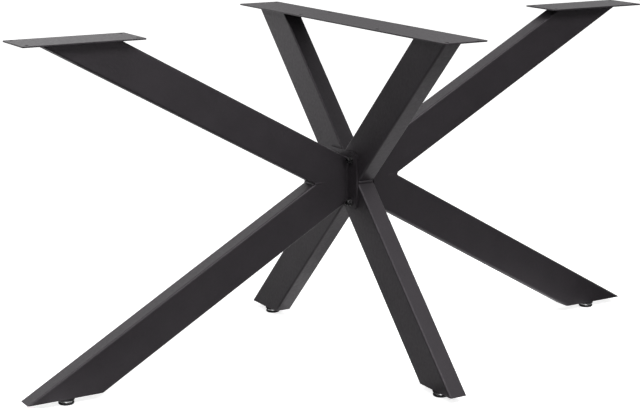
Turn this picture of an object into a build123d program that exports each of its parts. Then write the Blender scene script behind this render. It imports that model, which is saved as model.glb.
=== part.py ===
from build123d import *
import os
from math import atan2, cos, degrees, radians, sin, tan

# Spider table base in black powder-coated rectangular steel tube. A crossed centre frame stands
# across the table, and a V-shaped side frame is bolted to each of its faces. Three top plates carry
# the table top and four screw feet level the base. +X runs along the table, +Y across it, +Z up,
# and the origin is on the floor under the hub. All sizes are in millimetres.

# Overall layout
overall_height = 720.0
hub_height = 386.0
side_foot_reach = 671.0
centre_foot_reach = 348.0
side_plate_reach = 622.0

# Tube
tube_width = 80.0
tube_depth = 40.0
tube_wall = 2.0
tube_inner_corner = 2.0

# Top plates
plate_thickness = 3.0
plate_corner = 4.0
plate_edge_round = 0.6
side_plate_width = 105.0
side_plate_overhang = 42.5
centre_plate_width = 100.0
centre_plate_overhang = 37.0
screw_hole_diameter = 8.0
screw_hole_inset = 13.0
inner_screw_spacing = 300.0

# Flanges that join the side frames to the centre frame
flange_thickness = 4.0
flange_corner = 12.0
flange_side_margin = 37.5
flange_upper_margin = 14.5
flange_lower_margin = 9.0
bolt_side_inset = 23.0
bolt_end_inset = 2.75

# Socket head bolts, washers and weld nuts
bolt_diameter = 8.0
bolt_head_diameter = 13.0
bolt_head_height = 8.0
bolt_head_round = 0.8
socket_across_flats = 6.0
socket_depth = 4.0
bolt_end_past_nut = 2.0
bolt_hole_clearance = 0.5
washer_diameter = 16.0
washer_thickness = 1.6
washer_hole_clearance = 0.2
nut_across_flats = 13.0
nut_height = 6.5
nut_thread_clearance = 0.1

# Closing plates of the legs and screw feet
end_plate_thickness = 3.0
foot_inset = 7.0
insert_flange_diameter = 34.0
insert_flange_height = 6.5
insert_flange_round = 1.2
insert_boss_diameter = 16.0
insert_boss_height = 22.0
insert_boss_clearance = 0.2
stud_diameter = 10.0
stud_length = 27.0
stud_running_clearance = 0.06
stud_point_chamfer = 1.0
stud_root_length = 2.5
stud_root_clearance = 0.1
hex_across_flats = 24.0
hex_height = 4.0
hex_corner_chamfer = 0.6
base_diameter = 32.0
base_height = 4.5
base_lower_round = 2.5
base_upper_round = 1.0

# Sizes that follow from the driving dimensions
tube_corner = tube_inner_corner + tube_wall
plate_underside = overall_height - plate_thickness
foot_height = base_height + hex_height + insert_flange_height
side_foot_place = side_foot_reach - foot_inset
centre_foot_place = centre_foot_reach - foot_inset
tube_face = tube_depth / 2
flange_face = tube_face + flange_thickness
washer_face = flange_face + washer_thickness
side_arm_rise = atan2(plate_underside - hub_height, side_plate_reach - tube_face)
side_leg_fall = atan2(hub_height - foot_height, side_foot_reach - tube_face)
cross_slope = atan2(hub_height - foot_height, centre_foot_reach)
side_mitre_tilt = (side_arm_rise - side_leg_fall) / 2
side_plate_length = tube_width / sin(side_arm_rise) + 2 * side_plate_overhang
cross_arm_reach = (plate_underside - hub_height) / tan(cross_slope) + tube_width / sin(cross_slope) / 2
centre_plate_length = 2 * (cross_arm_reach + centre_plate_overhang)
side_end_rise = tube_width / cos(side_arm_rise) / 2 + flange_thickness * tan(side_arm_rise)
side_end_drop = tube_width / cos(side_leg_fall) / 2 + flange_thickness * tan(side_leg_fall)
flange_width = tube_depth + 2 * flange_side_margin
flange_top = side_end_rise + flange_upper_margin
flange_bottom = -side_end_drop - flange_lower_margin
flange_height = flange_top - flange_bottom
flange_lift = (flange_top + flange_bottom) / 2
bolt_spacing_across = flange_width - 2 * bolt_side_inset
bolt_spacing_up = side_end_rise + side_end_drop - 2 * bolt_end_inset
bolt_length = washer_thickness + flange_thickness + tube_wall + nut_height + bolt_end_past_nut
stock_length = overall_height + side_foot_reach

top_plane = Plane.XY.offset(plate_underside)
leg_end_plane = Plane.XY.offset(foot_height)
leg_seat_plane = Plane.XY.offset(foot_height + end_plate_thickness)

os.makedirs("parts", exist_ok=True)


def finish(piece, name):
    """Label a finished piece and write it to its own file."""
    piece.part.label = name
    export_step(piece.part, f"parts/{name}.step")


def cut_tube(name, section_plane, kept_sides, bolted=False):
    """A length of tube along the plane's normal, kept on the normal side of each cutting plane."""
    with BuildPart() as tube:
        with BuildSketch(section_plane):
            RectangleRounded(tube_depth, tube_width, tube_corner)
            RectangleRounded(
                tube_depth - 2 * tube_wall,
                tube_width - 2 * tube_wall,
                tube_inner_corner,
                mode=Mode.SUBTRACT,
            )
        extrude(amount=stock_length, both=True)
        for cutting_plane in kept_sides:
            split(bisect_by=cutting_plane, keep=Keep.TOP)
        if bolted:
            with BuildSketch(Plane.YZ.offset(-tube_depth)):
                with Locations((0, hub_height)):
                    with GridLocations(bolt_spacing_across, bolt_spacing_up, 2, 2):
                        Circle(bolt_diameter / 2 + bolt_hole_clearance)
            extrude(amount=2 * tube_depth, mode=Mode.SUBTRACT)
    finish(tube, name)


def leg_end_plate(name, section_plane, foot_x, foot_y):
    """The plate that closes a leg, flush with the tube and bored for the foot's threaded insert."""
    with BuildPart() as plate:
        with BuildSketch(section_plane):
            RectangleRounded(tube_depth, tube_width, tube_corner)
        extrude(amount=stock_length, both=True)
        split(bisect_by=leg_end_plane, keep=Keep.TOP)
        split(bisect_by=leg_seat_plane, keep=Keep.BOTTOM)
        with BuildSketch(leg_end_plane):
            with Locations((foot_x, foot_y)):
                Circle(insert_boss_diameter / 2 + insert_boss_clearance)
        extrude(amount=end_plate_thickness, mode=Mode.SUBTRACT)
    finish(plate, name)


def top_plate(name, centre_x, size_x, size_y, hole_grids):
    """A flat plate under the table top, with a screw hole at the corners of each grid."""
    with BuildPart() as plate:
        with BuildSketch(top_plane):
            with Locations((centre_x, 0)):
                RectangleRounded(size_x, size_y, plate_corner)
        extrude(amount=plate_thickness)
        rims = plate.faces().filter_by(Axis.Z).edges()
        fillet(rims, plate_edge_round)
        for spacing_x, spacing_y in hole_grids:
            with BuildSketch(top_plane):
                with Locations((centre_x, 0)):
                    with GridLocations(spacing_x, spacing_y, 2, 2):
                        Circle(screw_hole_diameter / 2)
            extrude(amount=plate_thickness, mode=Mode.SUBTRACT)
    finish(plate, name)


def hub_plane(side, distance):
    """An upright plane at the hub that faces away from the centre frame on one side."""
    return Plane(origin=(side * distance, 0, hub_height), x_dir=(0, 1, 0), z_dir=(side, 0, 0))


def bolt_grid():
    """The four bolt places of a flange."""
    return GridLocations(bolt_spacing_across, bolt_spacing_up, 2, 2)


def flange(name, side):
    """The flange plate welded to a side frame, with clearance holes for its bolts."""
    with BuildPart() as plate:
        with BuildSketch(hub_plane(side, tube_face)):
            with Locations((0, side * flange_lift)):
                RectangleRounded(flange_width, flange_height, flange_corner)
            with bolt_grid():
                Circle(bolt_diameter / 2 + bolt_hole_clearance, mode=Mode.SUBTRACT)
        extrude(amount=flange_thickness)
    finish(plate, name)


def flange_bolts(name, side):
    """Four socket head bolts, screwed towards the centre frame."""
    with BuildPart() as bolts:
        with BuildSketch(hub_plane(side, washer_face)):
            with bolt_grid():
                Circle(bolt_head_diameter / 2)
        extrude(amount=bolt_head_height)
        crowns = bolts.faces().filter_by(Axis.X).group_by(Axis.X)[-1 if side > 0 else 0]
        fillet(crowns.edges(), bolt_head_round)
        with BuildSketch(hub_plane(side, washer_face + bolt_head_height)):
            with bolt_grid():
                RegularPolygon(socket_across_flats / 2, 6, major_radius=False)
        extrude(amount=-socket_depth, mode=Mode.SUBTRACT)
        with BuildSketch(hub_plane(side, washer_face)):
            with bolt_grid():
                Circle(bolt_diameter / 2)
        extrude(amount=-bolt_length)
    finish(bolts, name)


def flange_washers(name, side):
    """A plain washer under each bolt head."""
    with BuildPart() as washers:
        with BuildSketch(hub_plane(side, flange_face)):
            with bolt_grid():
                Circle(washer_diameter / 2)
                Circle(bolt_diameter / 2 + washer_hole_clearance, mode=Mode.SUBTRACT)
        extrude(amount=washer_thickness)
    finish(washers, name)


def weld_nuts(name, side):
    """The hexagon nuts welded inside the centre frame behind each bolt hole."""
    with BuildPart() as nuts:
        with BuildSketch(hub_plane(side, tube_face - tube_wall)):
            with bolt_grid():
                RegularPolygon(nut_across_flats / 2, 6, major_radius=False)
                Circle(bolt_diameter / 2 + nut_thread_clearance, mode=Mode.SUBTRACT)
        extrude(amount=-nut_height)
    finish(nuts, name)


def foot_insert(name, foot_x, foot_y):
    """The flanged plastic insert in the end of a leg, with the bore that the foot screws into."""
    with BuildPart() as insert:
        with BuildSketch(leg_end_plane):
            with Locations((foot_x, foot_y)):
                Circle(insert_flange_diameter / 2)
        extrude(amount=-insert_flange_height)
        fillet(insert.faces().sort_by(Axis.Z)[0].edges(), insert_flange_round)
        with BuildSketch(leg_end_plane):
            with Locations((foot_x, foot_y)):
                Circle(insert_boss_diameter / 2)
        extrude(amount=insert_boss_height)
        with BuildSketch(leg_end_plane.offset(-insert_flange_height)):
            with Locations((foot_x, foot_y)):
                Circle(stud_diameter / 2 + stud_running_clearance)
        extrude(amount=insert_flange_height + insert_boss_height, mode=Mode.SUBTRACT)
    finish(insert, name)


def foot_screw(name, foot_x, foot_y):
    """The steel screw of a foot: a hexagon collar with the threaded stud above and a root below."""
    with BuildPart() as screw:
        with BuildSketch(Plane.XY.offset(base_height)):
            with Locations((foot_x, foot_y)):
                RegularPolygon(hex_across_flats / 2, 6, major_radius=False)
        extrude(amount=hex_height)
        chamfer(screw.faces().filter_by(Axis.Z).edges(), hex_corner_chamfer)
        with BuildSketch(Plane.XY.offset(base_height - stud_root_length)):
            with Locations((foot_x, foot_y)):
                Circle(stud_diameter / 2)
        extrude(amount=stud_root_length + hex_height + stud_length)
        chamfer(screw.faces().sort_by(Axis.Z)[-1].edges(), stud_point_chamfer)
    finish(screw, name)


def foot_base(name, foot_x, foot_y):
    """The round plastic base of a foot, with a blind socket for the root of its screw."""
    with BuildPart() as base:
        with BuildSketch(Plane.XY):
            with Locations((foot_x, foot_y)):
                Circle(base_diameter / 2)
        extrude(amount=base_height)
        fillet(base.faces().sort_by(Axis.Z)[0].edges(), base_lower_round)
        fillet(base.faces().sort_by(Axis.Z)[-1].edges(), base_upper_round)
        with BuildSketch(Plane.XY.offset(base_height)):
            with Locations((foot_x, foot_y)):
                Circle(stud_diameter / 2 + stud_root_clearance)
        extrude(amount=-stud_root_length, mode=Mode.SUBTRACT)
    finish(base, name)


# Side frames, each a mitred V with its flange and top plate. The centre lines of the arm and the leg
# meet on the face of the centre frame, and both tubes are cut off at the outer face of the flange.
side_screw_grid = (side_plate_length - 2 * screw_hole_inset, side_plate_width - 2 * screw_hole_inset)
for side_name, side in (("left", -1), ("right", 1)):
    hub_point = (side * tube_face, 0, hub_height)
    flange_side = Plane(origin=(side * flange_face, 0, hub_height), z_dir=(side, 0, 0))
    mitre = Plane(origin=hub_point, z_dir=(-side * sin(side_mitre_tilt), 0, cos(side_mitre_tilt)))
    arm_section = Plane(
        origin=hub_point,
        x_dir=(0, 1, 0),
        z_dir=(side * cos(side_arm_rise), 0, sin(side_arm_rise)),
    )
    leg_section = Plane(
        origin=hub_point,
        x_dir=(0, 1, 0),
        z_dir=(side * cos(side_leg_fall), 0, -sin(side_leg_fall)),
    )
    cut_tube(f"{side_name}_upper_arm", arm_section, [flange_side, mitre, -top_plane])
    cut_tube(f"{side_name}_leg", leg_section, [flange_side, -mitre, leg_seat_plane])
    leg_end_plate(f"{side_name}_leg_end_plate", leg_section, side * side_foot_place, 0)
    top_plate(
        f"{side_name}_top_plate",
        side * side_plate_reach,
        side_plate_length,
        side_plate_width,
        [side_screw_grid],
    )
    flange(f"{side_name}_flange", side)
    flange_bolts(f"{side_name}_flange_bolts", side)
    flange_washers(f"{side_name}_flange_washers", side)
    weld_nuts(f"{side_name}_weld_nuts", side)

# Centre frame: one tube runs through from the front foot to the back of the top plate, and the
# front arm and the back leg are butted against its narrow faces
hub_centre = (0, 0, hub_height)
through_section = Plane(origin=hub_centre, x_dir=(1, 0, 0), z_dir=(0, cos(cross_slope), sin(cross_slope)))
butted_section = Plane(origin=hub_centre, x_dir=(1, 0, 0), z_dir=(0, -cos(cross_slope), sin(cross_slope)))
arm_butt = Plane(
    origin=(0, -sin(cross_slope) * tube_width / 2, hub_height + cos(cross_slope) * tube_width / 2),
    z_dir=(0, -sin(cross_slope), cos(cross_slope)),
)
leg_butt = Plane(
    origin=(0, sin(cross_slope) * tube_width / 2, hub_height - cos(cross_slope) * tube_width / 2),
    z_dir=(0, sin(cross_slope), -cos(cross_slope)),
)
cut_tube("front_leg_and_back_arm", through_section, [-top_plane, leg_seat_plane], bolted=True)
cut_tube("front_arm", butted_section, [arm_butt, -top_plane], bolted=True)
cut_tube("back_leg", butted_section, [leg_butt, leg_seat_plane], bolted=True)
leg_end_plate("front_leg_end_plate", through_section, 0, -centre_foot_place)
leg_end_plate("back_leg_end_plate", butted_section, 0, centre_foot_place)
centre_screw_width = centre_plate_width - 2 * screw_hole_inset
top_plate(
    "centre_top_plate",
    0,
    centre_plate_width,
    centre_plate_length,
    [
        (centre_screw_width, centre_plate_length - 2 * screw_hole_inset),
        (centre_screw_width, inner_screw_spacing),
    ],
)

# Screw feet, one under each leg, a little nearer to the hub than the middle of its end
feet = {
    "left": (-side_foot_place, 0),
    "right": (side_foot_place, 0),
    "front": (0, -centre_foot_place),
    "back": (0, centre_foot_place),
}
for foot_name, (foot_x, foot_y) in feet.items():
    foot_insert(f"{foot_name}_foot_insert", foot_x, foot_y)
    foot_screw(f"{foot_name}_foot_screw", foot_x, foot_y)
    foot_base(f"{foot_name}_foot_base", foot_x, foot_y)

print("arm rise", round(degrees(side_arm_rise), 2), "leg fall", round(degrees(side_leg_fall), 2))
print("cross slope", round(degrees(cross_slope), 2), "flange", round(flange_width, 1), round(flange_height, 1))
print("side plate", round(side_plate_length, 1), "centre plate", round(centre_plate_length, 1))
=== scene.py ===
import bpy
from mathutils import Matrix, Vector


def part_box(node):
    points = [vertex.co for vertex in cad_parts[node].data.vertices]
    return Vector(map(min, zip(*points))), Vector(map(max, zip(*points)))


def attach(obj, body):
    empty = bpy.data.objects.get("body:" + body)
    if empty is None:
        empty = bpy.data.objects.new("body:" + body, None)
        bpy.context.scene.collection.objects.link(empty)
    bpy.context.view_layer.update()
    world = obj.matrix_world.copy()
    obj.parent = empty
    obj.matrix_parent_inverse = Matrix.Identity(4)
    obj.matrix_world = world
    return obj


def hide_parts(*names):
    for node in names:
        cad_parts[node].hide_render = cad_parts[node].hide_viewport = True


bl_info = {
    "name": "Spider Table Base",
    "version": (1, 0, 0),
    "blender": (4, 5, 0),
    "location": "3D View > Sidebar > Table Base",
    "description": "Dresses the steel spider table base with its coat, welds, bolts and screw feet",
    "category": "Add Mesh",
}

from math import atan2, cos, pi, radians, sin, tan

import bmesh
import bpy
from bpy.props import FloatProperty, FloatVectorProperty, IntProperty, PointerProperty
from mathutils import Matrix, Vector

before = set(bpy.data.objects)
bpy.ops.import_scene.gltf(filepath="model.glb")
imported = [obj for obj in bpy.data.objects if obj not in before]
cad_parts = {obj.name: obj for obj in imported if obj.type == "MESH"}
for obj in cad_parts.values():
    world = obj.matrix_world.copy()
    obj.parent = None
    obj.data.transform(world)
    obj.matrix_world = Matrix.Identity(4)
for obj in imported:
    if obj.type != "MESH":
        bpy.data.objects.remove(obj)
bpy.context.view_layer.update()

SIDES = (("left", -1), ("right", 1))
FEET = ("left", "right", "front", "back")
COATED_NODES = (
    "left_upper_arm",
    "left_leg",
    "left_leg_end_plate",
    "left_top_plate",
    "left_flange",
    "right_upper_arm",
    "right_leg",
    "right_leg_end_plate",
    "right_top_plate",
    "right_flange",
    "front_leg_and_back_arm",
    "front_arm",
    "back_leg",
    "front_leg_end_plate",
    "back_leg_end_plate",
    "centre_top_plate",
)

# Distances in metres under which two points count as one
NEAR = 1e-6
DOUBLED = 1e-7

# Angles between faces up to which a piece is shaded smooth
WELD_SHADING = radians(60)
BOLT_SHADING = radians(30)
SCREW_SHADING = radians(28)

# Range in which most values of a noise pattern lie
NOISE_RANGE = (0.3, 0.7)

# Weld beads: lengths in metres, and shares of the bead or of the weld's leg
BEAD_SIDES = 16
BEAD_INSET = 0.001
BEAD_TAPER = (0.45, 0.72, 0.9)
FEWEST_RIPPLES = 4
CORNER_SINK = 0.0005
CORNER_UNEVENNESS = 0.0003
CROSS_UNEVENNESS = 0.0005
CORNER_GRAIN = 0.004
TUBE_CORNER = 0.004
CORNER_SEGMENTS = 6
FILLET_STEPS = 8
FILLET_SINK = 0.0003
FILLET_BULGE = 0.16
FILLET_UNEVENNESS = 0.0004
FILLET_GRAIN = 0.005
FLANGE_TOE = 1.1
PLATE_INNER_TOE = 0.8
PLATE_OUTER_TOE = 0.7

# Bolts and foot screws: lengths in metres, and shares of the head, socket, pitch or hexagon
HEAD_BEVEL = 0.0007
POINT_BEVEL = 0.0008
KNURL_CUTS = 5
KNURL_SPAN = (0.12, 0.82)
KNURL_ROOT = 0.955
SOCKET_POINT = 0.35
BOLT_TURN = pi / 7
THREAD_FLANK = 0.37
THREAD_CREST = 0.13
THREAD_STEPS = 28
SPARE_TURNS = 2
TURNED_SIDES = 96
TURNED_SHARE = 0.995
ROOT_SIDES = 48
ROOT_BEVEL = 0.0005

# Cloths and cards that only reflections show: places and sizes in metres, greys, and glow (1 is white)
DARK_CLOTH = (0.02, 0.035)
PALE_CLOTH = (0.69, 0.75)
CURTAIN_SIDES = 72
CURTAIN_OVERLAP = radians(10)
CLOTH_LEVEL = 0.002
RIGHT_CLOTH_LEFT = 0.62
NEAR_CLOTH_LEFT = -0.4
NEAR_CLOTH_BACK = -0.15
LEFT_CLOTH_BACK = 1.9
SIDE_CLOTH_ALONG_X = (0.1, 0.6)
SIDE_CLOTH_ALONG_Y = (0.08, 0.8)
FOOT_CARD_LEVEL = 0.003
FOOT_CARD_DISTANCE = 0.032
FOOT_CARD_SIZE = (0.034, 0.034)
FOOT_CARD_GLOW = 2.0
CARD_FADE = 0.2
CARD_LEFT_GLOW = 1.6
CARD_MIDDLE_GLOW = 0.3
CARD_RIGHT_GLOW = 0.9
CEILING_PLACE = (2.4, -1.0, 4.0)
CEILING_SIZE = (4.5, 4.5)
CEILING_GLOW = 0.58
FLAG_PLACE = (-0.33, 0, 0.56)
FLAG_SIZE = (0.6, 0.26)
FLAG_GLOW = 0.38
LEFT_CARD_PLACE = (-1.0, 2.63, 0.5)
LEFT_CARD_SIZE = (1.4, 1.0)
LEFT_CARD_TURN = radians(30)
LEFT_CARD_GLOW = 1.7

# Lights: places and sizes in metres, the left ones by depth, side and height as the camera sees them
LIGHT_AIM = (0, 0, 0.4)
FRONT_LEFT_PLACE = (-1.6, -1.6, 2.4)
FRONT_LEFT_SIZE = 1.4
FAR_LEFT_PLACE = (1.6, -3.0, 1.2)
FAR_LEFT_SIZE = 1.6
FRONT_RIGHT_PLACE = (0.05, -2.4, 2.4)
FRONT_RIGHT_SIZE = 0.9
FILL_PLACE = (0.4, -4.0, 1.0)
FILL_SIZE = 2.0

# Width in millimetres of the sensor that the camera's lens is given for
SENSOR_WIDTH = 36


def node_centre(node):
    """The middle of a CAD node's box."""
    low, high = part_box(node)
    return (low + high) / 2


def node_size(node):
    """The three sides of a CAD node's box."""
    low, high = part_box(node)
    return high - low


# Sizes of the frame, read from its nodes
hub_height = node_centre("right_flange_bolts").z
tube_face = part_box("right_flange")[0].x
flange_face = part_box("right_flange")[1].x
tube_depth = node_size("right_upper_arm").y
plate_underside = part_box("right_top_plate")[0].z
side_plate_reach = node_centre("right_top_plate").x
arm_rise = atan2(plate_underside - hub_height, side_plate_reach - tube_face)
side_leg_end = node_centre("right_leg_end_plate")
cross_leg_end = node_centre("back_leg_end_plate")
leg_fall = atan2(hub_height - side_leg_end.z, side_leg_end.x - tube_face)
cross_slope = atan2(hub_height - cross_leg_end.z, cross_leg_end.y)
end_plate_size = node_size("right_leg_end_plate")
tube_width = (end_plate_size.x - end_plate_size.z / tan(leg_fall)) * sin(leg_fall)
half_width = tube_width / 2
half_depth = tube_depth / 2


class CoatLook(bpy.types.PropertyGroup):
    """Colours and textures of the finishes."""

    coat_colour: FloatVectorProperty(
        name="Coat colour",
        description="Colour of the black powder coat",
        subtype="COLOR",
        size=3,
        default=(0.0125, 0.0108, 0.0125),
    )
    coat_pale_colour: FloatVectorProperty(
        name="Coat pale colour",
        description="Colour of the coat where its grain catches the light",
        subtype="COLOR",
        size=3,
        default=(0.019, 0.0165, 0.019),
    )
    sheen_tint: FloatVectorProperty(
        name="Sheen tint",
        description="Tint of the light that the coat reflects",
        subtype="COLOR",
        size=3,
        default=(1.0, 0.93, 1.0),
    )
    grain_scale: FloatProperty(
        name="Grain scale",
        description="Grains of the coat's fine texture in one metre",
        default=1500.0,
    )
    peel_scale: FloatProperty(
        name="Peel scale",
        description="Waves of the coat's soft unevenness in one metre",
        default=150.0,
    )
    zinc_colour: FloatVectorProperty(
        name="Zinc colour",
        description="Colour of the plated foot screws",
        subtype="COLOR",
        size=3,
        default=(0.88, 0.88, 0.89),
    )
    oxide_colour: FloatVectorProperty(
        name="Oxide colour",
        description="Colour of the blackened bolts and washers",
        subtype="COLOR",
        size=3,
        default=(0.09, 0.088, 0.09),
    )
    steel_colour: FloatVectorProperty(
        name="Steel colour",
        description="Colour of the weld nuts where their steel is bare",
        subtype="COLOR",
        size=3,
        default=(0.42, 0.42, 0.43),
    )
    mill_scale_colour: FloatVectorProperty(
        name="Mill scale colour",
        description="Colour of the weld nuts where mill scale covers them",
        subtype="COLOR",
        size=3,
        default=(0.18, 0.17, 0.16),
    )
    plastic_colour: FloatVectorProperty(
        name="Plastic colour",
        description="Colour of the foot bases and leg inserts",
        subtype="COLOR",
        size=3,
        default=(0.016, 0.016, 0.017),
    )


class WeldSizes(bpy.types.PropertyGroup):
    """Sizes of the weld beads."""

    fillet_leg: FloatProperty(
        name="Fillet leg",
        description="Height of the fillet welds on the tube",
        default=0.0022,
        unit="LENGTH",
    )
    ripple_pitch: FloatProperty(
        name="Ripple pitch",
        description="Distance between two ripples of a bead",
        default=0.0024,
        unit="LENGTH",
    )
    ripple_height: FloatProperty(
        name="Ripple height",
        description="How far a ripple stands over the next valley",
        default=0.00022,
        unit="LENGTH",
    )
    corner_radius: FloatProperty(
        name="Corner radius",
        description="Radius of the hollow bead in the inner corner of a side frame",
        default=0.0032,
        unit="LENGTH",
    )
    corner_depth: FloatProperty(
        name="Corner depth",
        description="How far a bead fills the inner corner of the crossed frame",
        default=0.0042,
        unit="LENGTH",
    )
    corner_half_width: FloatProperty(
        name="Corner half width",
        description="Half the width of the bead in a corner of the crossed frame",
        default=0.005,
        unit="LENGTH",
    )
    tail_length: FloatProperty(
        name="Tail length",
        description="Length of the ground bead on the wide face of a side frame",
        default=0.026,
        unit="LENGTH",
    )
    tail_height: FloatProperty(
        name="Tail height",
        description="How far the ground bead stands over the wide face",
        default=0.0006,
        unit="LENGTH",
    )


class FastenerSizes(bpy.types.PropertyGroup):
    """Sizes of the flange bolts and the screw feet."""

    head_diameter: FloatProperty(
        name="Bolt head diameter",
        description="Diameter of a flange bolt's head",
        default=0.013,
        unit="LENGTH",
    )
    shank_diameter: FloatProperty(
        name="Bolt shank diameter",
        description="Diameter of a flange bolt's shank",
        default=0.008,
        unit="LENGTH",
    )
    head_height: FloatProperty(
        name="Bolt head height",
        description="Height of a flange bolt's head",
        default=0.008,
        unit="LENGTH",
    )
    socket_flats: FloatProperty(
        name="Socket across flats",
        description="Width of the hexagon socket in a bolt head",
        default=0.006,
        unit="LENGTH",
    )
    socket_depth: FloatProperty(
        name="Socket depth",
        description="Depth of the hexagon socket in a bolt head",
        default=0.004,
        unit="LENGTH",
    )
    knurl_count: IntProperty(
        name="Knurls",
        description="Number of knurls round a bolt head",
        default=36,
    )
    stud_diameter: FloatProperty(
        name="Stud diameter",
        description="Outer diameter of a foot's thread",
        default=0.010,
        unit="LENGTH",
    )
    thread_pitch: FloatProperty(
        name="Thread pitch",
        description="Distance between two turns of a foot's thread",
        default=0.0015,
        unit="LENGTH",
    )
    thread_depth: FloatProperty(
        name="Thread depth",
        description="Depth of a foot's thread",
        default=0.0009,
        unit="LENGTH",
    )
    hex_flats: FloatProperty(
        name="Hexagon across flats",
        description="Width of a foot's hexagon collar",
        default=0.024,
        unit="LENGTH",
    )
    hex_height: FloatProperty(
        name="Hexagon height",
        description="Height of a foot's hexagon collar",
        default=0.004,
        unit="LENGTH",
    )
    hex_chamfer: FloatProperty(
        name="Hexagon chamfer",
        description="Width of the turned chamfer on the collar's corners",
        default=0.0011,
        unit="LENGTH",
    )


class StageLook(bpy.types.PropertyGroup):
    """Floor, lights and camera."""

    floor_colour: FloatVectorProperty(
        name="Floor colour",
        description="Colour of the pale floor",
        subtype="COLOR",
        size=3,
        default=(0.82, 0.82, 0.82),
    )
    floor_half_size: FloatProperty(
        name="Floor half size",
        description="Distance from the base to the floor's edge",
        default=60.0,
        unit="LENGTH",
    )
    floor_glow: FloatProperty(
        name="Floor glow",
        description="How much the camera sees of the floor where no light falls on it",
        default=0.82,
    )
    room_light: FloatProperty(
        name="Room light",
        description="Strength of the even light from all round",
        default=0.05,
    )
    overhead_strength: FloatProperty(
        name="Overhead strength",
        description="Strength of the wide soft light from above",
        default=1.1,
    )
    overhead_angle: FloatProperty(
        name="Overhead angle",
        description="How wide the light from above is",
        default=radians(80),
        unit="ROTATION",
    )
    front_left_power: FloatProperty(
        name="Front left power",
        description="Power of the soft light in front of the base on its left",
        default=24.0,
        unit="POWER",
    )
    front_right_power: FloatProperty(
        name="Front right power",
        description="Power of the soft light in front of the base on its right",
        default=60.0,
        unit="POWER",
    )
    fill_power: FloatProperty(
        name="Fill power",
        description="Power of the wide light far in front of the base",
        default=26.0,
        unit="POWER",
    )
    far_left_power: FloatProperty(
        name="Far left power",
        description="Power of the soft light far to the left of the base",
        default=2.0,
        unit="POWER",
    )
    curtain_radius: FloatProperty(
        name="Curtain radius",
        description="Distance from the base to the dark curtain round the camera",
        default=4.4,
        unit="LENGTH",
    )
    curtain_height: FloatProperty(
        name="Curtain height",
        description="Height of the dark curtain",
        default=3.6,
        unit="LENGTH",
    )
    cloth_edge: FloatProperty(
        name="Cloth edge",
        description="Distance from the base to the dark cloth on the floor in front of it",
        default=0.3,
        unit="LENGTH",
    )
    card_distance: FloatProperty(
        name="Card distance",
        description="Distance from the base to the pale card behind it",
        default=2.6,
        unit="LENGTH",
    )
    card_width: FloatProperty(
        name="Card width",
        description="Width of the pale card",
        default=5.0,
        unit="LENGTH",
    )
    card_height: FloatProperty(
        name="Card height",
        description="Height of the pale card",
        default=2.0,
        unit="LENGTH",
    )
    camera_place: FloatVectorProperty(
        name="Camera place",
        description="Where the camera stands",
        subtype="TRANSLATION",
        size=3,
        default=(-1.83555, -2.89372, 1.119),
    )
    camera_turn: FloatProperty(
        name="Camera turn",
        description="How far the camera looks to the right of the Y axis",
        default=radians(31.27),
        unit="ROTATION",
    )
    camera_dip: FloatProperty(
        name="Camera dip",
        description="How far the camera looks down",
        default=radians(13.02),
        unit="ROTATION",
    )
    camera_roll: FloatProperty(
        name="Camera roll",
        description="How far the camera leans to one side",
        default=radians(0.18),
        unit="ROTATION",
    )
    camera_lens: FloatProperty(
        name="Camera lens",
        description="Focal length in millimetres for a sensor 36 mm wide",
        default=92.5,
    )


def begin():
    """Leave edit mode and deselect everything before a new piece is started."""
    if bpy.context.object and bpy.context.object.mode != "OBJECT":
        bpy.ops.object.mode_set(mode="OBJECT")
    bpy.ops.object.select_all(action="DESELECT")


def edit():
    """Open the active piece for editing with all of its vertices selected."""
    bpy.ops.object.mode_set(mode="EDIT")
    bpy.ops.mesh.select_mode(type="VERT")
    bpy.ops.mesh.select_all(action="SELECT")


def done():
    """Close the active piece and return it."""
    bpy.ops.object.mode_set(mode="OBJECT")
    return bpy.context.object


def select(kind, test):
    """Select the vertices, edges or faces of the piece being edited whose middle passes the test."""
    bpy.ops.mesh.select_mode(type=kind)
    bpy.ops.mesh.select_all(action="DESELECT")
    mesh = bmesh.from_edit_mesh(bpy.context.object.data)
    groups = {"VERT": mesh.verts, "EDGE": mesh.edges, "FACE": mesh.faces}
    for part in groups[kind]:
        corners = [part.co] if kind == "VERT" else [corner.co for corner in part.verts]
        middle = sum(corners, Vector()) / len(corners)
        part.select_set(bool(test(middle)))
    mesh.select_flush_mode()
    bmesh.update_edit_mesh(bpy.context.object.data)


def scale_about(centre, x, y, z):
    """Resize the selection about a point."""
    bpy.ops.transform.resize(value=(x, y, z), center_override=centre)


def extrude(move):
    """Extrude the selection by a move."""
    bpy.ops.mesh.extrude_region_move(TRANSFORM_OT_translate={"value": move})


def extrude_point(move):
    """Draw an edge on from the selected vertex by a move."""
    bpy.ops.mesh.extrude_vertices_move(TRANSFORM_OT_translate={"value": move})


def use_modifier(kind, **settings):
    """Add a modifier to the active piece, set it and apply it."""
    bpy.ops.object.modifier_add(type=kind)
    modifier = bpy.context.object.modifiers[-1]
    for name, value in settings.items():
        setattr(modifier, name, value)
    bpy.ops.object.modifier_apply(modifier=modifier.name)


def make_active(piece):
    """Select one piece alone."""
    begin()
    piece.select_set(True)
    bpy.context.view_layer.objects.active = piece


def name_piece(name):
    """Name the active piece and its mesh, and return it."""
    piece = bpy.context.object
    piece.name = name
    piece.data.name = name
    return piece


def settle():
    """Put the active piece's place, turn and size into its mesh, and return it."""
    bpy.ops.object.transform_apply(location=True, rotation=True, scale=True)
    return bpy.context.object


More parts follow.
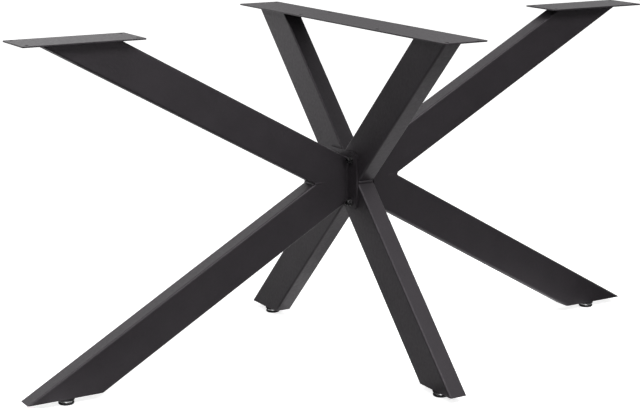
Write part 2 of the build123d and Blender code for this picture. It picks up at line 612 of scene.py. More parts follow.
def upright_cylinder(sides, radius, height, middle, turn=0.0):
    """Add a cylinder on the Z axis with its middle at a height, and its place in its mesh."""
    begin()
    bpy.ops.mesh.primitive_cylinder_add(
        vertices=sides,
        radius=radius,
        depth=height,
        location=(0, 0, middle),
        rotation=(0, 0, turn),
    )
    return settle()


def place(piece, matrix):
    """Move a piece to its place and put the place into its mesh."""
    make_active(piece)
    piece.matrix_world = matrix @ piece.matrix_world
    settle()


def axes(across, along_width, along_run, spot):
    """A matrix that turns X, Y and Z to three directions at a spot."""
    matrix = Matrix.Identity(4)
    for column, direction in enumerate((across, along_width, along_run, spot)):
        for row in range(3):
            matrix[row][column] = direction[row]
    return matrix


def copy_piece(piece, name):
    """A copy of a piece with a mesh of its own."""
    make_active(piece)
    bpy.ops.object.duplicate(linked=False)
    return name_piece(name)


def join(pieces, name):
    """Join several pieces into one."""
    begin()
    for piece in pieces:
        piece.select_set(True)
    bpy.context.view_layer.objects.active = pieces[0]
    bpy.ops.object.join()
    return name_piece(name)


def delete_piece(piece):
    """Delete a piece that only served to make others."""
    make_active(piece)
    bpy.ops.object.delete()


def face_outwards(piece):
    """Merge doubled vertices and turn all the faces of a piece outwards."""
    make_active(piece)
    edit()
    bpy.ops.mesh.remove_doubles(threshold=DOUBLED)
    bpy.ops.mesh.normals_make_consistent(inside=False)
    return done()


def smooth(piece, angle):
    """Shade a piece smooth where its faces meet at less than an angle."""
    make_active(piece)
    bpy.ops.object.shade_smooth_by_angle(angle=angle)


def cut_with(piece, cutter, operation):
    """Cut or trim a piece with another, which is then deleted."""
    make_active(piece)
    use_modifier("BOOLEAN", operation=operation, object=cutter, solver="EXACT")
    delete_piece(cutter)
    make_active(piece)


def finish_piece(piece, body, material):
    """Give a piece its material and the body that it rides on."""
    piece.data.materials.clear()
    piece.data.materials.append(material)
    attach(piece, body)


def new_material(name):
    """A node material, with its tree, its shader and the coordinates that its patterns read."""
    material = bpy.data.materials.new(name)
    material.use_nodes = True
    tree = material.node_tree
    shader = tree.nodes["Principled BSDF"]
    spot = tree.nodes.new("ShaderNodeTexCoord").outputs["Object"]
    return material, tree, shader, spot


def noise(tree, spot, scale, detail=2.0, roughness=0.5):
    """A noise pattern's value."""
    node = tree.nodes.new("ShaderNodeTexNoise")
    tree.links.new(spot, node.inputs["Vector"])
    node.inputs["Scale"].default_value = scale
    node.inputs["Detail"].default_value = detail
    node.inputs["Roughness"].default_value = roughness
    return node.outputs["Fac"]


def spread(tree, value, source, target=(0, 1)):
    """A value brought from one range to another."""
    node = tree.nodes.new("ShaderNodeMapRange")
    tree.links.new(value, node.inputs["Value"])
    node.inputs["From Min"].default_value, node.inputs["From Max"].default_value = source
    node.inputs["To Min"].default_value, node.inputs["To Max"].default_value = target
    return node.outputs["Result"]


def shade_of(colour, share):
    """A colour made darker or paler by a share."""
    return [share * channel for channel in colour]


def blend_colours(tree, factor, first, second):
    """A colour between two, by a factor."""
    node = tree.nodes.new("ShaderNodeMix")
    node.data_type = "RGBA"
    tree.links.new(factor, node.inputs[0])
    node.inputs[6].default_value = (*first, 1)
    node.inputs[7].default_value = (*second, 1)
    return node.outputs[2]


def bump(tree, height, strength, distance, under=None):
    """A bumped normal, laid over another one if there is one."""
    node = tree.nodes.new("ShaderNodeBump")
    node.inputs["Strength"].default_value = strength
    node.inputs["Distance"].default_value = distance
    tree.links.new(height, node.inputs["Height"])
    if under:
        tree.links.new(under, node.inputs["Normal"])
    return node.outputs["Normal"]


def combine(tree, first, second, operation):
    """Two values put together by an operation."""
    node = tree.nodes.new("ShaderNodeMath")
    node.operation = operation
    tree.links.new(first, node.inputs[0])
    tree.links.new(second, node.inputs[1])
    return node.outputs["Value"]


def link_finish(tree, shader, colour, roughness, normal):
    """Give a shader its colour, its roughness and its bumped normal."""
    tree.links.new(colour, shader.inputs["Base Color"])
    tree.links.new(roughness, shader.inputs["Roughness"])
    tree.links.new(normal, shader.inputs["Normal"])


def powder_coat(look):
    """Matt black powder coat: fine grain over a soft unevenness, with a slight drift of tone."""
    material, tree, shader, spot = new_material("black_powder_coat")
    drift = noise(tree, spot, scale=14, detail=4, roughness=0.6)
    peel = noise(tree, spot, look.peel_scale, detail=3)
    grain = noise(tree, spot, look.grain_scale, detail=3, roughness=0.6)
    tone = spread(tree, combine(tree, drift, grain, "MULTIPLY"), (0.12, 0.4))
    colour = blend_colours(tree, tone, look.coat_colour, look.coat_pale_colour)
    roughness = spread(tree, peel, NOISE_RANGE, (0.46, 0.56))
    soft = bump(tree, peel, strength=0.5, distance=0.0006)
    normal = bump(tree, grain, strength=0.3, distance=0.00012, under=soft)
    link_finish(tree, shader, colour, roughness, normal)
    shader.inputs["Specular IOR Level"].default_value = 0.45
    shader.inputs["Specular Tint"].default_value = (*look.sheen_tint, 1)
    return material


def zinc_plate(look):
    """Bright zinc plate with fine turned lines and a slight clouding."""
    material, tree, shader, spot = new_material("bright_zinc_plate")
    cloud = noise(tree, spot, scale=160, detail=3)
    lines = tree.nodes.new("ShaderNodeTexWave")
    lines.bands_direction = "Z"
    tree.links.new(spot, lines.inputs["Vector"])
    lines.inputs["Scale"].default_value = 900
    lines.inputs["Distortion"].default_value = 1.5
    lines.inputs["Detail"].default_value = 2
    dull = shade_of(look.zinc_colour, 0.82)
    colour = blend_colours(tree, spread(tree, cloud, NOISE_RANGE), dull, look.zinc_colour)
    roughness = spread(tree, cloud, NOISE_RANGE, (0.28, 0.36))
    normal = bump(tree, lines.outputs["Fac"], strength=0.15, distance=0.00005)
    link_finish(tree, shader, colour, roughness, normal)
    shader.inputs["Metallic"].default_value = 0.6
    return material


def black_oxide(look):
    """Oiled black oxide on steel, slightly worn."""
    material, tree, shader, spot = new_material("black_oxide_steel")
    wear = noise(tree, spot, scale=420, detail=4, roughness=0.6)
    worn = shade_of(look.oxide_colour, 2.2)
    colour = blend_colours(tree, spread(tree, wear, (0.45, 0.75)), look.oxide_colour, worn)
    roughness = spread(tree, wear, NOISE_RANGE, (0.2, 0.32))
    normal = bump(tree, wear, strength=0.2, distance=0.00006)
    link_finish(tree, shader, colour, roughness, normal)
    shader.inputs["Metallic"].default_value = 0.9
    return material


def nut_steel(look):
    """Plain steel of the weld nuts, with mill scale in patches."""
    material, tree, shader, spot = new_material("plain_nut_steel")
    patches = noise(tree, spot, scale=300, detail=4, roughness=0.65)
    bare = spread(tree, patches, (0.4, 0.65))
    colour = blend_colours(tree, bare, look.mill_scale_colour, look.steel_colour)
    roughness = spread(tree, patches, NOISE_RANGE, (0.55, 0.35))
    normal = bump(tree, patches, strength=0.3, distance=0.0001)
    link_finish(tree, shader, colour, roughness, normal)
    shader.inputs["Metallic"].default_value = 1
    return material


def foot_plastic(look):
    """Black moulded plastic with a satin skin."""
    material, tree, shader, spot = new_material("satin_foot_plastic")
    skin = noise(tree, spot, scale=2200)
    cloud = noise(tree, spot, scale=90, detail=3)
    pale = shade_of(look.plastic_colour, 1.7)
    colour = blend_colours(tree, spread(tree, cloud, NOISE_RANGE), look.plastic_colour, pale)
    roughness = spread(tree, cloud, NOISE_RANGE, (0.46, 0.56))
    normal = bump(tree, skin, strength=0.2, distance=0.00005)
    link_finish(tree, shader, colour, roughness, normal)
    shader.inputs["Specular IOR Level"].default_value = 0.15
    return material


def finish_named(name):
    """A finish made by the first step."""
    return bpy.data.materials[name]


class TABLE_BASE_OT_finish_frame(bpy.types.Operator):
    """Make the finishes and give them to the pieces of the frame"""

    bl_idname = "table_base.finish_frame"
    bl_label = "Finish the Frame"

    def execute(self, context):
        look = context.scene.table_base_coat
        coat = powder_coat(look)
        zinc_plate(look)
        oxide = black_oxide(look)
        steel = nut_steel(look)
        plastic = foot_plastic(look)
        finishes = {node: coat for node in COATED_NODES}
        for side_name, _ in SIDES:
            finishes[f"{side_name}_flange_washers"] = oxide
            finishes[f"{side_name}_weld_nuts"] = steel
        for foot in FEET:
            finishes[f"{foot}_foot_insert"] = plastic
            finishes[f"{foot}_foot_base"] = plastic
        for node, finish in finishes.items():
            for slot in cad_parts[node].material_slots:
                slot.material = finish
        return {"FINISHED"}


def rippled_bar(name, length, sizes):
    """A bar along Z of one metre radius, with ripples along it and ends that taper off."""
    begin()
    bpy.ops.mesh.primitive_cylinder_add(vertices=BEAD_SIDES, radius=1, depth=length)
    bar = name_piece(name)
    rings = 2 * max(FEWEST_RIPPLES, round(length / sizes.ripple_pitch))
    step = length / rings
    edit()
    select("EDGE", lambda spot: abs(spot.z) < length / 4)
    bpy.ops.mesh.subdivide(number_cuts=rings - 1)
    valley = 1 - 2 * sizes.ripple_height / sizes.corner_depth
    select("VERT", lambda spot: round((spot.z + length / 2) / step) % 2 == 1)
    scale_about((0, 0, 0), valley, valley, 1)
    for ring, share in enumerate(BEAD_TAPER):
        ring_height = length / 2 - ring * step
        select("VERT", lambda spot: abs(abs(spot.z) - ring_height) < step / 4)
        scale_about((0, 0, 0), share, share, 1)
    done()
    use_modifier("SUBSURF", levels=1, render_levels=1)
    return bar


def roughen(piece, strength, grain):
    """Make a piece slightly uneven, as a bead laid by hand is."""
    texture = bpy.data.textures.new("bead_unevenness", "CLOUDS")
    texture.noise_scale = grain
    make_active(piece)
    use_modifier(
        "DISPLACE",
        texture=texture,
        texture_coords="LOCAL",
        strength=strength,
        mid_level=0.5,
    )
    bpy.data.textures.remove(texture)


def finish_weld(weld, unevenness, grain):
    """Make a bead uneven, shade it and give it the coat of the frame."""
    roughen(weld, unevenness, grain)
    smooth(weld, WELD_SHADING)
    finish_piece(weld, "frame", finish_named("black_powder_coat"))


def corner_bead(name, run, outward, root, length, sizes):
    """A bead that fills the inner corner at a root point, laid along a run and bulging outwards."""
    bar = rippled_bar(name, length, sizes)
    sideways = run.cross(outward)
    place(bar, axes(outward * sizes.corner_depth, sideways * sizes.corner_half_width, run, root))
    return bar


def corner_fillet(name, run, outward, root, half_opening, length, sizes):
    """A bead with a hollow round face that fills the inner corner at a root point."""
    radius = sizes.corner_radius
    middle = radius / sin(half_opening)
    half_sweep = pi / 2 - half_opening
    outline = [Vector((-CORNER_SINK, 0, 0))]
    for step in range(-FILLET_STEPS, FILLET_STEPS + 1):
        turn = half_sweep * step / FILLET_STEPS
        outline.append(Vector((middle - radius * cos(turn), radius * sin(turn), 0)))
    begin()
    bpy.ops.mesh.primitive_plane_add(size=CORNER_SINK)
    bead = name_piece(name)
    edit()
    bpy.ops.mesh.merge(type="CENTER")
    bpy.ops.transform.translate(value=outline[0])
    for before, after in zip(outline, outline[1:]):
        extrude_point(after - before)
    bpy.ops.mesh.select_all(action="SELECT")
    bpy.ops.mesh.edge_face_add()
    bpy.ops.transform.translate(value=(0, 0, -length / 2))
    extrude((0, 0, length))
    select("EDGE", lambda spot: abs(spot.x - middle + radius) < radius and abs(spot.z) < length / 4)
    bpy.ops.mesh.subdivide(number_cuts=round(length / sizes.ripple_pitch))
    done()
    place(bead, axes(outward, run.cross(outward), run, root))
    return face_outwards(bead)


class TABLE_BASE_OT_corner_welds(bpy.types.Operator):
    """Lay the beads in the inner corners of the side frames and of the crossed frame"""

    bl_idname = "table_base.corner_welds"
    bl_label = "Corner Welds"

    def execute(self, context):
        sizes = context.scene.table_base_welds
        across = Vector((0, 1, 0))
        half_opening = (arm_rise + leg_fall) / 2
        tilt = (arm_rise - leg_fall) / 2
        bead_length = tube_depth - 2 * BEAD_INSET
        for side_name, side in SIDES:
            outward = Vector((side * cos(tilt), 0, sin(tilt)))
            hub = Vector((side * tube_face, 0, hub_height))
            root = hub + outward * (half_width / sin(half_opening))
            corner_name = f"{side_name}_corner"
            corner = corner_fillet(corner_name, across, outward, root, half_opening, bead_length, sizes)
            beads = [corner]
            for face in (-1, 1):
                tail = rippled_bar(f"{side_name}_tail", sizes.tail_length, sizes)
                normal = Vector((0, face, 0))
                middle = root - outward * (sizes.tail_length / 2 - sizes.corner_radius / 2)
                spot = middle + normal * half_depth
                width = outward.cross(normal) * sizes.corner_half_width / 2
                place(tail, axes(normal * sizes.tail_height, width, outward, spot))
                beads.append(tail)
            weld = join(beads, f"{side_name}_corner_weld")
            finish_weld(weld, CORNER_UNEVENNESS, CORNER_GRAIN)
        along = Vector((1, 0, 0))
        hub = Vector((0, 0, hub_height))
        corners = (
            ("front", Vector((0, -1, 0)), sin(cross_slope)),
            ("back", Vector((0, 1, 0)), sin(cross_slope)),
            ("upper", Vector((0, 0, 1)), cos(cross_slope)),
            ("lower", Vector((0, 0, -1)), cos(cross_slope)),
        )
        for corner_name, outward, share in corners:
            root = hub + outward * (half_width / share)
            weld = corner_bead(f"{corner_name}_cross_weld", along, outward, root, bead_length, sizes)
            finish_weld(weld, CROSS_UNEVENNESS, CORNER_GRAIN)
        return {"FINISHED"}


def fillet_ring(name, loops, sizes):
    """A fillet weld round a tube's rounded outline in the XY plane. Each loop gives its half length along
    X, its half width along Y, its shift along X and its height. The last loop is closed onto the first."""
    half_length, half_breadth, shift, _ = loops[0]
    corner = TUBE_CORNER + sizes.fillet_leg
    begin()
    bpy.ops.mesh.primitive_plane_add(size=2)
    ring = name_piece(name)
    edit()
    scale_about((0, 0, 0), half_length, half_breadth, 1)
    bpy.ops.mesh.bevel(offset=corner, offset_type="OFFSET", segments=CORNER_SEGMENTS, affect="VERTICES")
    bpy.ops.mesh.delete(type="ONLY_FACE")
    for axis, half in ((0, half_length), (1, half_breadth)):
        select("EDGE", lambda spot: abs(spot[axis]) < NEAR)
        bpy.ops.mesh.subdivide(number_cuts=2 * round((half - corner) / sizes.ripple_pitch) + 1)
    bpy.ops.mesh.select_all(action="SELECT")
    bpy.ops.transform.translate(value=(shift, 0, 0))
    for before, after in zip(loops, loops[1:]):
        extrude((after[2] - before[2], 0, after[3] - before[3]))
        scale_about((after[2], 0, after[3]), after[0] / before[0], after[1] / before[1], 1)
    bpy.ops.mesh.select_mode(type="EDGE")
    bpy.ops.mesh.select_all(action="DESELECT")
    bpy.ops.mesh.select_non_manifold()
    bpy.ops.mesh.bridge_edge_loops()
    done()
    return face_outwards(ring)


def fillet_loops(half_length, half_breadth, reach, far_reach, shift_rate, spread_rate, leg):
    """The four loops of a fillet: its toe on the plate, its crown, its toe on the tube and its root."""
    toe_length = half_length + (reach + far_reach) / 2
    toe_shift = (reach - far_reach) / 2
    tube_length = half_length + spread_rate * leg
    tube_shift = shift_rate * leg
    bulge = FILLET_BULGE * leg
    return (
        (toe_length, half_breadth + leg, toe_shift, 0.0),
        (
            (toe_length + tube_length) / 2 + bulge,
            half_breadth + leg / 2 + bulge,
            (toe_shift + tube_shift) / 2,
            leg / 2 + bulge,
        ),
        (tube_length, half_breadth - FILLET_SINK, tube_shift, leg),
        (half_length - FILLET_SINK, half_breadth - FILLET_SINK, 0.0, 0.0),
    )


class TABLE_BASE_OT_flange_welds(bpy.types.Operator):
    """Lay the fillet weld between each side frame and its flange"""

    bl_idname = "table_base.flange_welds"
    bl_label = "Flange Welds"

    def execute(self, context):
        sizes = context.scene.table_base_welds
        leg = sizes.fillet_leg
        thickness = flange_face - tube_face
        rise = half_width / cos(arm_rise) + thickness * tan(arm_rise)
        drop = half_width / cos(leg_fall) + thickness * tan(leg_fall)
        half_height = (rise + drop) / 2
        diverging = tan((arm_rise + leg_fall) / 2)
        toe = leg * FLANGE_TOE
        loops = fillet_loops(half_height, half_depth, toe, toe, 0.0, diverging, leg)
        up = Vector((0, 0, 1))
        for side_name, side in SIDES:
            weld = fillet_ring(f"{side_name}_flange_weld", loops, sizes)
            spot = Vector((side * flange_face, 0, hub_height + (rise - drop) / 2))
            outward = Vector((side, 0, 0))
            place(weld, axes(up, outward.cross(up), outward, spot))
            finish_weld(weld, FILLET_UNEVENNESS, FILLET_GRAIN)
        return {"FINISHED"}


class TABLE_BASE_OT_plate_welds(bpy.types.Operator):
    """Lay the fillet welds between the arms and the top plates"""

    bl_idname = "table_base.plate_welds"
    bl_label = "Plate Welds"

    def execute(self, context):
        sizes = context.scene.table_base_welds
        leg = sizes.fillet_leg
        down = Vector((0, 0, -1))
        arm_foot = (plate_underside - hub_height) / tan(cross_slope)
        arms = (
            ("left", Vector((1, 0, 0)), side_plate_reach, arm_rise),
            ("right", Vector((-1, 0, 0)), side_plate_reach, arm_rise),
            ("front", Vector((0, 1, 0)), arm_foot, cross_slope),
            ("back", Vector((0, -1, 0)), arm_foot, cross_slope),
        )
        for arm_name, inward, reach, slope in arms:
            half_length = half_width / sin(slope)
            lean = 1 / tan(slope)
            inner_toe = leg * (lean + PLATE_INNER_TOE)
            outer_toe = leg * PLATE_OUTER_TOE
            loops = fillet_loops(half_length, half_depth, inner_toe, outer_toe, lean, 0.0, leg)
            weld = fillet_ring(f"{arm_name}_plate_weld", loops, sizes)
            spot = Vector((0, 0, plate_underside)) - inward * reach
            place(weld, axes(inward, down.cross(inward), down, spot))
            finish_weld(weld, FILLET_UNEVENNESS, FILLET_GRAIN)
        return {"FINISHED"}


def knurled_bolt(sizes, length):
    """A socket head bolt along Z, with its head standing on the origin's level and its shank below."""
    count = 2 * sizes.knurl_count
    radius = sizes.head_diameter / 2
    height = sizes.head_height
    bolt = upright_cylinder(count, radius, height, height / 2)
    edit()
    select("FACE", lambda spot: spot.z > height - NEAR)
    bpy.ops.mesh.bevel(offset=HEAD_BEVEL, segments=3, affect="EDGES")
    select("EDGE", lambda spot: abs(spot.z - height / 2) < height / 4)
    bpy.ops.mesh.subdivide(number_cuts=KNURL_CUTS)
    step = 2 * pi / count
    lowest, highest = (share * height for share in KNURL_SPAN)

    def in_groove(spot):
        turn = round(atan2(spot.y, spot.x) / step)
        return lowest < spot.z < highest and turn % 2 == 1

    select("VERT", in_groove)
    scale_about((0, 0, 0), KNURL_ROOT, KNURL_ROOT, 1)
    select("FACE", lambda spot: spot.z < NEAR)
    bpy.ops.mesh.inset(thickness=radius - sizes.shank_diameter / 2)
    extrude((0, 0, -length))
    bpy.ops.mesh.bevel(offset=POINT_BEVEL, segments=2, affect="EDGES")
    done()
    socket_radius = sizes.socket_flats / 2 / cos(pi / 6)
    cutter = upright_cylinder(6, socket_radius, 2 * sizes.socket_depth, height)
    edit()
    select("FACE", lambda spot: spot.z < height - sizes.socket_depth / 2)
    extrude((0, 0, -sizes.socket_flats / 8))
    scale_about((0, 0, 0), SOCKET_POINT, SOCKET_POINT, 1)
    done()
    cut_with(bolt, cutter, "DIFFERENCE")
    smooth(bolt, BOLT_SHADING)
    return bolt


class TABLE_BASE_OT_flange_bolts(bpy.types.Operator):
    """Model the socket head bolts of the flanges with their knurled heads"""

    bl_idname = "table_base.flange_bolts"
    bl_label = "Flange Bolts"

    def execute(self, context):
        sizes = context.scene.table_base_fasteners
        bolts_size = node_size("right_flange_bolts")
        spacing_y = bolts_size.y - sizes.head_diameter
        spacing_z = bolts_size.z - sizes.head_diameter
        washer_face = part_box("right_flange_washers")[1].x
        model = knurled_bolt(sizes, bolts_size.x - sizes.head_height)
        up = Vector((0, 0, 1))
        for side_name, side in SIDES:
            outward = Vector((side, 0, 0))
            bolts = []
            for y_share in (-0.5, 0.5):
                for z_share in (-0.5, 0.5):
                    bolt = copy_piece(model, f"{side_name}_bolt")
                    height = hub_height + z_share * spacing_z
                    spot = Vector((side * washer_face, y_share * spacing_y, height))
                    # Each bolt came to rest at a turn of its own
                    turn = Matrix.Rotation((y_share + 2 * z_share) * BOLT_TURN, 4, "Z")
                    place(bolt, axes(up, outward.cross(up), outward, spot) @ turn)
                    bolts.append(bolt)
            piece = join(bolts, f"{side_name}_flange_socket_bolts")
            finish_piece(piece, "frame", finish_named("black_oxide_steel"))
            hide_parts(f"{side_name}_flange_bolts")
        delete_piece(model)
        return {"FINISHED"}


def thread_stud(sizes, bottom, top):
    """A threaded stud along Z between two heights, cut flat at both ends."""
    major = sizes.stud_diameter / 2
    depth = sizes.thread_depth
    pitch = sizes.thread_pitch
    start = bottom - SPARE_TURNS * pitch
    begin()
    bpy.ops.mesh.primitive_plane_add(size=depth, location=(major - depth, 0, start))
    stud = settle()
    edit()
    bpy.ops.mesh.merge(type="CENTER")
    flank = THREAD_FLANK * pitch
    crest = THREAD_CREST * pitch
    for outward, upward in ((depth, flank), (0, crest), (-depth, flank), (0, crest)):
        extrude_point((outward, 0, upward))
    done()
    use_modifier(
        "SCREW",
        axis="Z",
        angle=2 * pi,
        screw_offset=pitch,
        iterations=round((top - bottom) / pitch) + 2 * SPARE_TURNS,
        steps=THREAD_STEPS,
        render_steps=THREAD_STEPS,
        use_merge_vertices=True,
        merge_threshold=NEAR,
    )
    edit()
    bpy.ops.mesh.remove_doubles(threshold=NEAR)
    for height, direction in ((top, 1), (bottom, -1)):
        bpy.ops.mesh.select_all(action="SELECT")
        bpy.ops.mesh.bisect(
            plane_co=(0, 0, height),
            plane_no=(0, 0, direction),
            use_fill=True,
            clear_outer=True,
        )
    done()
    return face_outwards(stud)


def hexagon_collar(sizes, bottom):
    """The hexagon of a foot screw with the corners turned down at both ends."""
    height = sizes.hex_height
    middle = bottom + height / 2
    corner_radius = sizes.hex_flats / 2 / cos(pi / 6)
    collar = upright_cylinder(6, corner_radius, height, middle, turn=pi / 6)
    turned = upright_cylinder(TURNED_SIDES, corner_radius * TURNED_SHARE, height, middle)
    edit()
    select("FACE", lambda spot: abs(spot.z - middle) > height / 4)
    bpy.ops.mesh.bevel(offset=sizes.hex_chamfer, segments=2, affect="EDGES")
    done()
    cut_with(collar, turned, "INTERSECT")
    return collar


class TABLE_BASE_OT_foot_screws(bpy.types.Operator):
    """Model the screws of the feet with their threads and hexagon collars"""

    bl_idname = "table_base.foot_screws"
    bl_label = "Foot Screws"

    def execute(self, context):
        sizes = context.scene.table_base_fasteners
        low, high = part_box("front_foot_screw")
        collar_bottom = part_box("front_foot_base")[1].z
        collar = hexagon_collar(sizes, collar_bottom)
        stud = thread_stud(sizes, collar_bottom + sizes.hex_height / 2, high.z)
        root_height = collar_bottom - low.z
        root = upright_cylinder(ROOT_SIDES, sizes.stud_diameter / 2, 2 * root_height, collar_bottom)
        edit()
        select("FACE", lambda spot: spot.z < low.z + NEAR)
        bpy.ops.mesh.bevel(offset=ROOT_BEVEL, segments=2, affect="EDGES")
        done()
        model = join([collar, stud, root], "foot_screw_model")
        smooth(model, SCREW_SHADING)
        for foot in FEET:
            piece = copy_piece(model, f"{foot}_foot_threaded_screw")
            spot = node_centre(f"{foot}_foot_base")
            place(piece, Matrix.Translation((spot.x, spot.y, 0)))
            finish_piece(piece, f"{foot}_foot", finish_named("bright_zinc_plate"))
            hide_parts(f"{foot}_foot_screw")
        delete_piece(model)
        return {"FINISHED"}


def seen_rays(tree):
    """One for the rays by which the camera, metal and glass see a thing, and zero for the rest."""
    rays = tree.nodes.new("ShaderNodeLightPath").outputs
    camera_or_metal = combine(tree, rays["Is Camera Ray"], rays["Is Glossy Ray"], "MAXIMUM")
    return combine(tree, camera_or_metal, rays["Is Transmission Ray"], "MAXIMUM")


def empty_material(name):
    """A node material with nothing but its output, with its tree and the socket of its surface."""
    material = bpy.data.materials.new(name)
    material.use_nodes = True
    tree = material.node_tree
    tree.nodes.clear()
    output = tree.nodes.new("ShaderNodeOutputMaterial")
    return material, tree, output.inputs["Surface"]


def floor_finish(look):
    """A pale floor that is white to the camera where no shadow falls."""
    material, tree, surface = empty_material("pale_floor")
    paper = tree.nodes.new("ShaderNodeBsdfDiffuse")
    paper.inputs["Color"].default_value = (*look.floor_colour, 1)
    glow = tree.nodes.new("ShaderNodeEmission")
    strength = spread(tree, seen_rays(tree), (0, 1), (0, look.floor_glow))
    tree.links.new(strength, glow.inputs["Strength"])
    both = tree.nodes.new("ShaderNodeAddShader")
    tree.links.new(paper.outputs["BSDF"], both.inputs[0])
    tree.links.new(glow.outputs["Emission"], both.inputs[1])
    tree.links.new(both.outputs["Shader"], surface)
    return material


def room_world(look):
    """A white room that the camera and the metal see as white, and that lights the base evenly."""
    world = bpy.data.worlds.new("studio_room")
    world.use_nodes = True
    tree = world.node_tree
    tree.nodes.clear()
    mix = tree.nodes.new("ShaderNodeMixShader")
    tree.links.new(seen_rays(tree), mix.inputs["Fac"])
    # The mix takes its first shader for light alone and its second one for what is seen
    for socket, strength in ((1, look.room_light), (2, 1.0)):
        room = tree.nodes.new("ShaderNodeBackground")
        room.inputs["Color"].default_value = (1, 1, 1, 1)
        room.inputs["Strength"].default_value = strength
        tree.links.new(room.outputs["Background"], mix.inputs[socket])
    output = tree.nodes.new("ShaderNodeOutputWorld")
    tree.links.new(mix.outputs["Shader"], output.inputs["Surface"])
    return world


def woven_cloth(name, greys):
    """Cloth with a faint weave between two greys."""
    material, tree, shader, spot = new_material(name)
    weave = spread(tree, noise(tree, spot, scale=12), NOISE_RANGE)
    first, second = ((grey, grey, grey) for grey in greys)
    tree.links.new(blend_colours(tree, weave, first, second), shader.inputs["Base Color"])
    shader.inputs["Roughness"].default_value = 1
    shader.inputs["Specular IOR Level"].default_value = 0
    return material


def graded_card():
    """A lit card that is brightest on its left and darkest in its middle."""
    material, tree, surface = empty_material("graded_card")
    spot = tree.nodes.new("ShaderNodeTexCoord").outputs["Object"]
    sides = tree.nodes.new("ShaderNodeSeparateXYZ")
    tree.links.new(spot, sides.inputs["Vector"])
    across = sides.outputs["X"]
    left = spread(tree, across, (-CARD_FADE, 0), (CARD_LEFT_GLOW, CARD_MIDDLE_GLOW))
    right = spread(tree, across, (0, CARD_FADE), (0, CARD_RIGHT_GLOW - CARD_MIDDLE_GLOW))
    glow = tree.nodes.new("ShaderNodeEmission")
    tree.links.new(combine(tree, left, right, "ADD"), glow.inputs["Strength"])
    tree.links.new(glow.outputs["Emission"], surface)
    return material


def plain_card(strength):
    """A card that is lit evenly."""
    material, tree, surface = empty_material("plain_card")
    glow = tree.nodes.new("ShaderNodeEmission")
    glow.inputs["Strength"].default_value = strength
    tree.links.new(glow.outputs["Emission"], surface)
    return material


def show_in_reflections(piece, name, material):
    """Make a stage piece that only reflections show."""
    piece.name = name
    piece.data.materials.append(material)
    piece.visible_camera = False
    piece.visible_diffuse = False
    piece.visible_shadow = False


def flat_piece(name, spot, size, material, turn=(0, 0, 0)):
    """Add a flat cloth or card to the stage that only reflections show."""
    begin()
    bpy.ops.mesh.primitive_plane_add(size=1, location=spot, rotation=turn)
    card = bpy.context.object
    card.scale = (*size, 1)
    show_in_reflections(card, name, material)


def lay_floor(look):
    """Lay the pale floor."""
    begin()
    bpy.ops.mesh.primitive_plane_add(size=2 * look.floor_half_size)
    floor = bpy.context.object
    floor.name = "floor"
    floor.data.materials.append(floor_finish(look))


def hang_curtain(look, behind, cloth):
    """Hang a curtain round the side of the base that the camera is on."""
    begin()
    bpy.ops.mesh.primitive_cylinder_add(
        vertices=CURTAIN_SIDES,
        radius=look.curtain_radius,
        depth=look.curtain_height,
        end_fill_type="NOTHING",
        location=(0, 0, look.curtain_height / 2),
    )
    curtain = bpy.context.object
    edit()
    select("FACE", lambda spot: spot.dot(behind) > look.curtain_radius * sin(CURTAIN_OVERLAP))
    bpy.ops.mesh.delete(type="FACE")
    done()
    show_in_reflections(curtain, "dark_curtain", cloth)


def lay_cloths(look, dark):
    """Lay dark and pale cloths on the floor, which the faces of the base reflect."""
    pale = woven_cloth("pale_cloth_weave", PALE_CLOTH)
    far = look.curtain_radius
    edge = -look.cloth_edge
    cloths = (
        ("front_cloth", (-far, far), (-far, edge), dark),
        ("right_cloth", (RIGHT_CLOTH_LEFT, far), (edge, 0), dark),
        ("near_left_cloth", (-far, NEAR_CLOTH_LEFT), (edge, NEAR_CLOTH_BACK), dark),
        ("near_cloth", (NEAR_CLOTH_LEFT, 0), (edge, NEAR_CLOTH_BACK), pale),
        ("left_cloth", (-far, 0), (NEAR_CLOTH_BACK, LEFT_CLOTH_BACK), pale),
        ("side_cloth", SIDE_CLOTH_ALONG_X, SIDE_CLOTH_ALONG_Y, pale),
    )
    for name, (left, right), (front, back), material in cloths:
        spot = ((left + right) / 2, (front + back) / 2, CLOTH_LEVEL)
        flat_piece(name, spot, (right - left, back - front), material)


def set_up_cards(look, behind):
    """Set up lit cards in front of the feet, behind, above and beside the base."""
    foot_glow = plain_card(FOOT_CARD_GLOW)
    for foot in FEET:
        spot = node_centre(f"{foot}_foot_base") - behind * FOOT_CARD_DISTANCE
        spot.z = FOOT_CARD_LEVEL
        flat_piece(f"{foot}_foot_card", spot, FOOT_CARD_SIZE, foot_glow)
    spot = behind * look.card_distance + Vector((0, 0, look.card_height / 2))
    turn = (pi / 2, 0, -look.camera_turn)
    flat_piece("pale_card", spot, (look.card_width, look.card_height), graded_card(), turn)
    flat_piece("dim_ceiling", CEILING_PLACE, CEILING_SIZE, plain_card(CEILING_GLOW), (pi, 0, 0))
    flat_piece("arm_flag", FLAG_PLACE, FLAG_SIZE, plain_card(FLAG_GLOW), (pi / 2, 0, 0))
    turn = (pi / 2, 0, LEFT_CARD_TURN)
    flat_piece("left_card", LEFT_CARD_PLACE, LEFT_CARD_SIZE, plain_card(LEFT_CARD_GLOW), turn)


def soft_light(name, spot, size, power):
    """Hang a square soft light at a spot that points to the base."""
    begin()
    bpy.ops.object.light_add(type="AREA", location=spot)
    lamp = bpy.context.object
    lamp.name = name
    lamp.data.shape = "SQUARE"
    lamp.data.size = size
    lamp.data.energy = power
    lamp.rotation_mode = "QUATERNION"
    lamp.rotation_quaternion = (Vector(LIGHT_AIM) - Vector(spot)).to_track_quat("-Z", "Y")


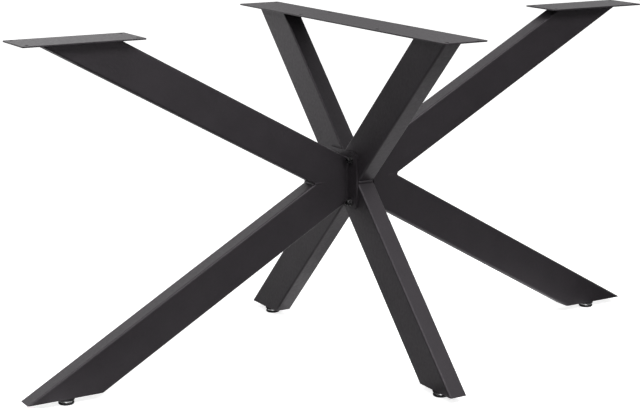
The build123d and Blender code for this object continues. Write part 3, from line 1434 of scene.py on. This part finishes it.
def hang_lights(look, behind, level):
    """Hang the wide light overhead and the soft lights round the base."""
    begin()
    bpy.ops.object.light_add(type="SUN")
    overhead = bpy.context.object
    overhead.name = "overhead_light"
    overhead.data.energy = look.overhead_strength
    overhead.data.angle = look.overhead_angle

    def seen_at(depth, sideways, height):
        """A place as the camera sees it."""
        return behind * depth + level * sideways + Vector((0, 0, height))

    soft_light("front_left_light", seen_at(*FRONT_LEFT_PLACE), FRONT_LEFT_SIZE, look.front_left_power)
    soft_light("far_left_light", seen_at(*FAR_LEFT_PLACE), FAR_LEFT_SIZE, look.far_left_power)
    soft_light("front_right_light", FRONT_RIGHT_PLACE, FRONT_RIGHT_SIZE, look.front_right_power)
    soft_light("fill_light", FILL_PLACE, FILL_SIZE, look.fill_power)


def photo_camera(look, behind, level):
    """A camera with the view of the photograph."""
    begin()
    bpy.ops.object.camera_add(location=look.camera_place)
    camera = bpy.context.object
    camera.name = "photo_camera"
    camera.data.sensor_width = SENSOR_WIDTH
    camera.data.lens = look.camera_lens
    camera.data.clip_start = 0.05
    camera.data.clip_end = 200
    ahead = behind * cos(look.camera_dip) - Vector((0, 0, sin(look.camera_dip)))
    upward = level.cross(ahead)
    right = level * cos(look.camera_roll) + upward * sin(look.camera_roll)
    top = right.cross(ahead)
    camera.matrix_world = axes(right, top, -ahead, Vector(look.camera_place))
    return camera


class TABLE_BASE_OT_stage(bpy.types.Operator):
    """Set up the floor, the lights and the camera"""

    bl_idname = "table_base.stage"
    bl_label = "Stage"

    def execute(self, context):
        look = context.scene.table_base_stage
        turn = look.camera_turn
        behind = Vector((sin(turn), cos(turn), 0))
        level = Vector((cos(turn), -sin(turn), 0))
        dark = woven_cloth("dark_curtain_cloth", DARK_CLOTH)
        lay_floor(look)
        hang_curtain(look, behind, dark)
        lay_cloths(look, dark)
        set_up_cards(look, behind)
        hang_lights(look, behind, level)
        context.scene.world = room_world(look)
        context.scene.camera = photo_camera(look, behind, level)
        context.scene.view_settings.view_transform = "Standard"
        return {"FINISHED"}


STEPS = (
    TABLE_BASE_OT_finish_frame,
    TABLE_BASE_OT_corner_welds,
    TABLE_BASE_OT_flange_welds,
    TABLE_BASE_OT_plate_welds,
    TABLE_BASE_OT_flange_bolts,
    TABLE_BASE_OT_foot_screws,
    TABLE_BASE_OT_stage,
)


class TABLE_BASE_PT_steps(bpy.types.Panel):
    """The steps that dress the table base"""

    bl_idname = "TABLE_BASE_PT_steps"
    bl_label = "Spider Table Base"
    bl_space_type = "VIEW_3D"
    bl_region_type = "UI"
    bl_category = "Table Base"

    def draw(self, context):
        for step in STEPS:
            self.layout.operator(step.bl_idname)


SETTINGS = {
    "table_base_coat": CoatLook,
    "table_base_welds": WeldSizes,
    "table_base_fasteners": FastenerSizes,
    "table_base_stage": StageLook,
}
CLASSES = (*SETTINGS.values(), *STEPS, TABLE_BASE_PT_steps)


def register():
    for kind in CLASSES:
        bpy.utils.register_class(kind)
    for name, kind in SETTINGS.items():
        setattr(bpy.types.Scene, name, PointerProperty(type=kind))


def unregister():
    for name in SETTINGS:
        delattr(bpy.types.Scene, name)
    for kind in reversed(CLASSES):
        bpy.utils.unregister_class(kind)


def main():
    """Dress the base step by step."""
    register()
    bpy.ops.table_base.finish_frame()
    bpy.ops.table_base.corner_welds()
    bpy.ops.table_base.flange_welds()
    bpy.ops.table_base.plate_welds()
    bpy.ops.table_base.flange_bolts()
    bpy.ops.table_base.foot_screws()
    bpy.ops.table_base.stage()
    begin()


if __name__ == "__main__":
    main()
